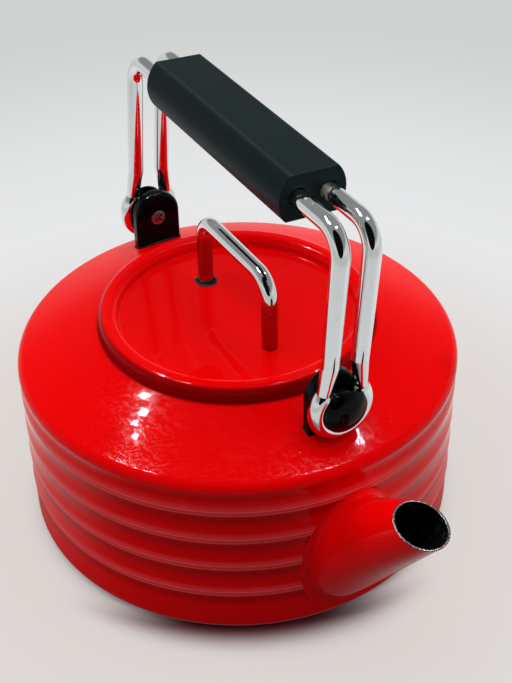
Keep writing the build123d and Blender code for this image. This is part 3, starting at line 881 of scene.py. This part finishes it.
def rubber(name, tone):
    """Dull rubber with a fine grain of darker and paler dust."""
    paint, place = begin(name)
    grain = noise(place, 1400.0, detail=3.0)
    colour = blend(shade(tone, 0.6), shade(tone, 1.6), grain)
    gloss = grain * 0.2 + 0.45
    surface(place, Base_Color=colour, Roughness=gloss, Normal=relief(grain, 0.00003), IOR=rubber_index)
    return paint


def seal_points(low, high, rows=160, columns=12, out=0.0009, rise=0.0011):
    """An oval bead along the foot's outline: out * cos t outwards from the post's middle, and
    rise * sin t above the shoulder."""
    path, around = once_round(rows)[:, None], once_round(columns)[None, :]
    x, y = foot_outline(low, high, path)
    px = x + out * np.cos(path) * np.cos(around)
    py = y + out * np.sin(path) * np.cos(around)
    pz = shoulder_height(np.hypot(px, py)) + rise * np.sin(around)
    return np.stack([px, py, pz], axis=-1)


seal_black = rubber("seal_black", rubber_black)
# Each black seal is also a painted contact shadow where its post meets the shoulder.
for side in ("front", "rear"):
    low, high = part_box(f"{side}_bracket")
    ring_piece(f"{side}_post_seal_and_shadow", seal_points(low, high), "kettle_body", seal_black)

# %% [markdown]
# The rear foot of the lid handle stands on a thin sealing ring that has darkened and crept
# out from under the rod, most on one side. At the front foot it is still hidden.

# %% Seal under the lid handle
def foot_seal_points(x, width, rows=72, columns=10, height=0.00042):
    """A flat oval section that starts at the rod and reaches out by a width that swells and
    thins as it goes round: radius = rod + width / 2 * (1 + cos t), height * sin t high."""
    path, around = once_round(rows)[:, None], once_round(columns)[None, :]
    swell = 1.0 + 0.18 * np.sin(2 * path + 0.6) + 0.08 * np.sin(5 * path)
    crept = width * (0.55 + 0.45 * np.cos(path + 0.5)) * swell
    radius = handle_rod_radius + 0.5 * crept * (1.0 + np.cos(around))
    px = x + radius * np.cos(path)
    py = radius * np.sin(path)
    pz = lid_floor + height * np.sin(around) * np.ones_like(path)
    return np.stack([px, py, pz], axis=-1)


ring_piece("rear_foot_seal", foot_seal_points(-foot_reach, 0.0022), "lid", seal_black)

# %% [markdown]
# ## The stage
# The stage is not part of the kettle, so each of its faces is declared as stage. The colours
# here are those of a pale paper sweep, a little cooler far away. By the kettle they are
# painted darker and warmer: painted shade tinted by the red light of the wall, and a painted
# contact shadow.

# %% Tones and faces of the stage
pale_near = (0.82, 0.815, 0.81, 1.0)
painted_contact_shadow = (0.13, 0.03, 0.04, 1.0)
shaded_warm_by_kettle = (0.715, 0.675, 0.650, 1.0)
pale_far = (0.62, 0.64, 0.625, 1.0)
pale_middle = (0.785, 0.795, 0.805, 1.0)
floor_bounce = (0.24, 0.22, 0.21, 1.0)
mirror_shade = (0.30, 0.19, 0.20, 1.0)
painted_red_bounce = (0.32, 0.11, 0.12, 1.0)


def stage_mesh(name, points, paint):
    """A single flat face for the stage, which is not part of the kettle."""
    mesh = bpy.data.meshes.new(name)
    mesh.from_pydata(points, [], [tuple(range(len(points)))])
    mesh.materials.append(paint)
    made = bpy.data.objects.new(name, mesh)
    bpy.context.scene.collection.objects.link(made)
    made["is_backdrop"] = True
    return made


print("the floor by the kettle is", shaded_warm_by_kettle[:3])

# %% [markdown]
# The kettle stands on a pale floor under one soft lamp. The floor has two shaders. One is lit
# and takes the kettle's shadow, and it shows most close to the front of the kettle. The other
# glows with an even pale tone and takes over further out, which stands in for a paper sweep;
# right beside the wall on the other sides it takes over too, and so paints out the kettle's
# shadow there. The floor looks pale to the camera and to mirrors, but sends little light back
# up, so that the wall of the kettle stays deep in colour.
#
# In mirrors the floor at the front is painted darker, a painted shadow as of someone who
# stands there and leans over the kettle; right at the wall it is painted red, a painted glow
# of the wall's own light; and on the open side it is painted a little brighter. To the camera
# a deep red contact shadow is painted into the lit floor's colour at the front, the side away
# from the low light of the room.

# %% The floor
floor_half = 9.0
mirror_shadow_side = (0.743, -0.669, 0.0)
shadow_side = (0.905, -0.425, 0.0)


def toward(place, way):
    """1 on the side of the kettle that a level direction points to, and -1 opposite."""
    return place.vector("DOT_PRODUCT", place.vector("NORMALIZE", place), way, out="Value")


floor_paint, place = begin("floor_paint")
distance = from_axis(place)
to_camera = place.node("ShaderNodeLightPath", out="Is Camera Ray")
in_mirror = to_camera.other("Is Glossy Ray")
seen = either(to_camera, in_mirror)
in_front = step(toward(place, shadow_side), 0.60, 0.97)
toward_mirror_shadow = toward(place, mirror_shadow_side)

# Painted contact shadow: near the wall at the front the lit floor's colour turns deep red.
painted_shadow_zone = both(step(distance, wall_radius + 0.015, wall_radius - 0.002), in_front)
lit_tone = blend(floor_bounce, blend(pale_near, painted_contact_shadow, painted_shadow_zone), seen)
lit = place.node("ShaderNodeBsdfDiffuse", sockets={"Color": lit_tone})

# Painted shadow in mirrors at the front, and a painted red glow of the wall in mirrors right by it.
painted_mirror_shadow = both(step(toward_mirror_shadow, 0.62, 0.92), step(distance, 0.23, 0.17))
under_wall = step(distance, wall_radius + 0.030, wall_radius)
# By the kettle the glow is darker and warmer: painted shade with the wall's red light.
tone = blend(shaded_warm_by_kettle, pale_middle, step(distance, 0.15, 0.27))
tone = blend(tone, pale_far, step(distance, 0.28, 0.60))
tone = blend(tone, mirror_shade, both(painted_mirror_shadow, in_mirror))
tone = blend(tone, painted_red_bounce, both(under_wall, in_mirror))
# Painted brighter in mirrors on the side away from the painted shadow.
open_side = both(in_mirror, step(toward_mirror_shadow, 0.60, -0.10))
brightness = seen * 0.72 + 0.28 + open_side * 0.18
glow_tone = place.vector("MULTIPLY", tone, brightness)
glow = place.node("ShaderNodeEmission", sockets={"Color": glow_tone, "Strength": 1.0})

# Beside the wall on the other sides the glow takes over and paints out the kettle's shadow.
beside = both(step(distance, 0.096, 0.114), 1.0 - in_front)
past_shadow = either(step(distance, wall_radius - 0.001, 0.127), beside)
fade = reduce(either, [past_shadow * 0.85, step(distance, 0.13, 0.32), in_mirror])
mixed = place.node("ShaderNodeMixShader", sockets={0: fade, 1: lit, 2: glow})
place.node("ShaderNodeOutputMaterial", sockets={"Surface": mixed})

floor_corners = [(x * floor_half, y * floor_half, 0) for x, y in ((-1, -1), (1, -1), (1, 1), (-1, 1))]
stage_mesh("floor", floor_corners, floor_paint)
print("floor", 2 * floor_half, "m wide")

# %% [markdown]
# The room is pale near the horizon and dark overhead, as a room is round a lit table. Only
# reflections see that difference; the camera sees the pale tone everywhere. The light that the
# room gives to dull surfaces comes from low down, and from every side but the one where
# someone stands.

# %% The room
room_dark = (0.30, 0.305, 0.31, 1.0)
blocked_way = (0.875, -0.484, 0.0)

world = bpy.data.worlds.new("room")
world.use_nodes = True
world.node_tree.nodes.clear()
skyward = Wire(world.node_tree).node("ShaderNodeTexCoord", out="Generated")
to_camera = skyward.node("ShaderNodeLightPath", out="Is Camera Ray")
to_mirror = to_camera.other("Is Glossy Ray")
height = split(skyward)[2]
dark_above = both(step(height, 0.15, 0.42), to_mirror)
tone = blend(pale_middle, room_dark, dark_above)
blocked = skyward.vector("DOT_PRODUCT", skyward, blocked_way, out="Value")
low_and_open = both(step(blocked, 0.60, 0.0), step(height, 0.75, 0.30))
seen = either(to_camera, to_mirror)
strength = seen + (1.0 - seen) * (low_and_open * 2.6 + 0.02)
room = skyward.node("ShaderNodeBackground", sockets={"Color": tone, "Strength": strength})
skyward.node("ShaderNodeOutputWorld", sockets={"Surface": room})
bpy.context.scene.world = world
print("the room is", pale_middle[:3], "low down and", room_dark[:3], "overhead")

# %% [markdown]
# One square lamp overhead does most of the lighting, and a weak low one at the side opens up
# the dark under the spout and the ribs. Neither shows in gloss. Small bulbs and two slim tubes
# do the opposite: they add no light, only the small bright reflections that make enamel look
# like glass.

# %% Lamps and tubes
kettle_middle = Vector((0.0, 0.0, 0.09))


def lamp(name, place, aim, size, power, diffuse=True, glossy=True):
    """A rectangular lamp at a place, turned to an aim."""
    light = bpy.data.lights.new(name, "AREA")
    light.shape = "RECTANGLE"
    light.size, light.size_y = size
    light.energy = power
    made = bpy.data.objects.new(name, light)
    bpy.context.scene.collection.objects.link(made)
    made.location = place
    made.rotation_mode = "QUATERNION"
    made.rotation_quaternion = (Vector(aim) - Vector(place)).to_track_quat("-Z", "Y")
    made.visible_diffuse = diffuse
    made.visible_glossy = glossy
    return made


def tube(name, start, end, width, power):
    """A long thin lamp from start to end that faces the kettle and only shows in gloss."""
    start, end = Vector(start), Vector(end)
    along = (end - start).normalized()
    middle = (start + end) / 2
    across = along.cross(kettle_middle - middle).normalized()
    back = along.cross(across)
    made = lamp(name, middle, (0, 0, 0), ((end - start).length, width), power, diffuse=False)
    made.rotation_quaternion = Matrix((along, across, back)).transposed().to_quaternion()


print("lamps and tubes face", tuple(round(v, 3) for v in kettle_middle))

# %% [markdown]
# The bulbs hang in two groups beyond the kettle, one on the left and one on the right, where
# the slope of the shoulder mirrors them toward the camera. The tubes do the same for the
# rounded edge of the shoulder.

# %% The lights of the scene
bulb_size, bulb_power = 0.04, 4.5
tube_width = 0.035

lamp("overhead", (0.14, 0.02, 2.0), (0, 0, 0), (2.4, 2.4), 41.5, glossy=False)
lamp("low_fill", (0.04, -0.80, 0.10), (0.10, 0.0, 0.05), (0.6, 0.3), 0.6, glossy=False)
bulbs = [
    (-0.727, -0.151, 1.276),
    (-0.639, -0.211, 1.316),
    (-0.613, -0.278, 1.318),
    (-0.540, -0.321, 1.342),
    (-0.020, 0.672, 1.322),
    (0.035, 0.671, 1.325),
]
for index, spot in enumerate(bulbs):
    lamp(f"bulb_{index}", spot, kettle_middle, (bulb_size, bulb_size), bulb_power, diffuse=False)
tube("left_tube", (-0.48, -0.48, 1.32), (-0.18, -0.40, 1.42), tube_width, 28.0)
tube("right_tube", (0.22, 0.18, 1.47), (0.24, 0.48, 1.40), tube_width, 22.0)
print("small bulbs:", len(bulbs), "tubes: 2, lamps in all:", len(bpy.data.lights))

# %% [markdown]
# The camera looks down on the kettle from the front right, a little off level, as one holds
# it by hand. Its matrix is built from three directions: to its side, up, and backwards.

# %% The camera
eye = Vector((0.43993, -0.23352, 0.46541))
forward = Vector((-0.69652, 0.38570, -0.60506)).normalized()
side = forward.cross(Vector((0, 0, 1))).normalized()
up = side.cross(forward)
roll = math.radians(-0.931)
side, up = side * math.cos(roll) + up * math.sin(roll), up * math.cos(roll) - side * math.sin(roll)
camera_data = bpy.data.cameras.new("camera")
camera_data.lens = 68.53
camera_data.sensor_width = 36.0
camera = bpy.data.objects.new("camera", camera_data)
bpy.context.scene.collection.objects.link(camera)
camera.matrix_world = Matrix.Translation(eye) @ Matrix((side, up, -forward)).transposed().to_4x4()
bpy.context.scene.camera = camera
bpy.context.scene.view_settings.view_transform = "Standard"
print("camera at", [round(v, 3) for v in eye], "lens", round(camera_data.lens, 2))

# %% [markdown]
# Whoever holds the camera is a dark shape in every mirror that faces it, and chrome without
# dark shapes looks like plastic. So a round dark card stands behind the camera, which only
# reflections see.

# %% The dark card
card_black = (0.004, 0.004, 0.0045, 1.0)
card_distance, card_radius = 0.06, 0.46

card_paint, place = begin("card_paint")
dark = place.node("ShaderNodeEmission", sockets={"Color": card_black, "Strength": 1.0})
place.node("ShaderNodeOutputMaterial", sockets={"Surface": dark})
card_centre = eye - forward * card_distance
card_points = [card_centre + (side * math.cos(a) + up * math.sin(a)) * card_radius for a in once_round(40)]
card = stage_mesh("dark_card", [tuple(point) for point in card_points], card_paint)
card.visible_camera = False
card.visible_diffuse = False
card.visible_shadow = False
print("the card is", 2 * card_radius, "m wide")

# %% [markdown]
# The box of the dressed kettle, with the stage left out, is printed at the end. Dressing must
# not change the size.

# %% Sizes and the end
low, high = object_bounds()
print("dressed box:", [round(v, 4) for v in (*low, *high)])
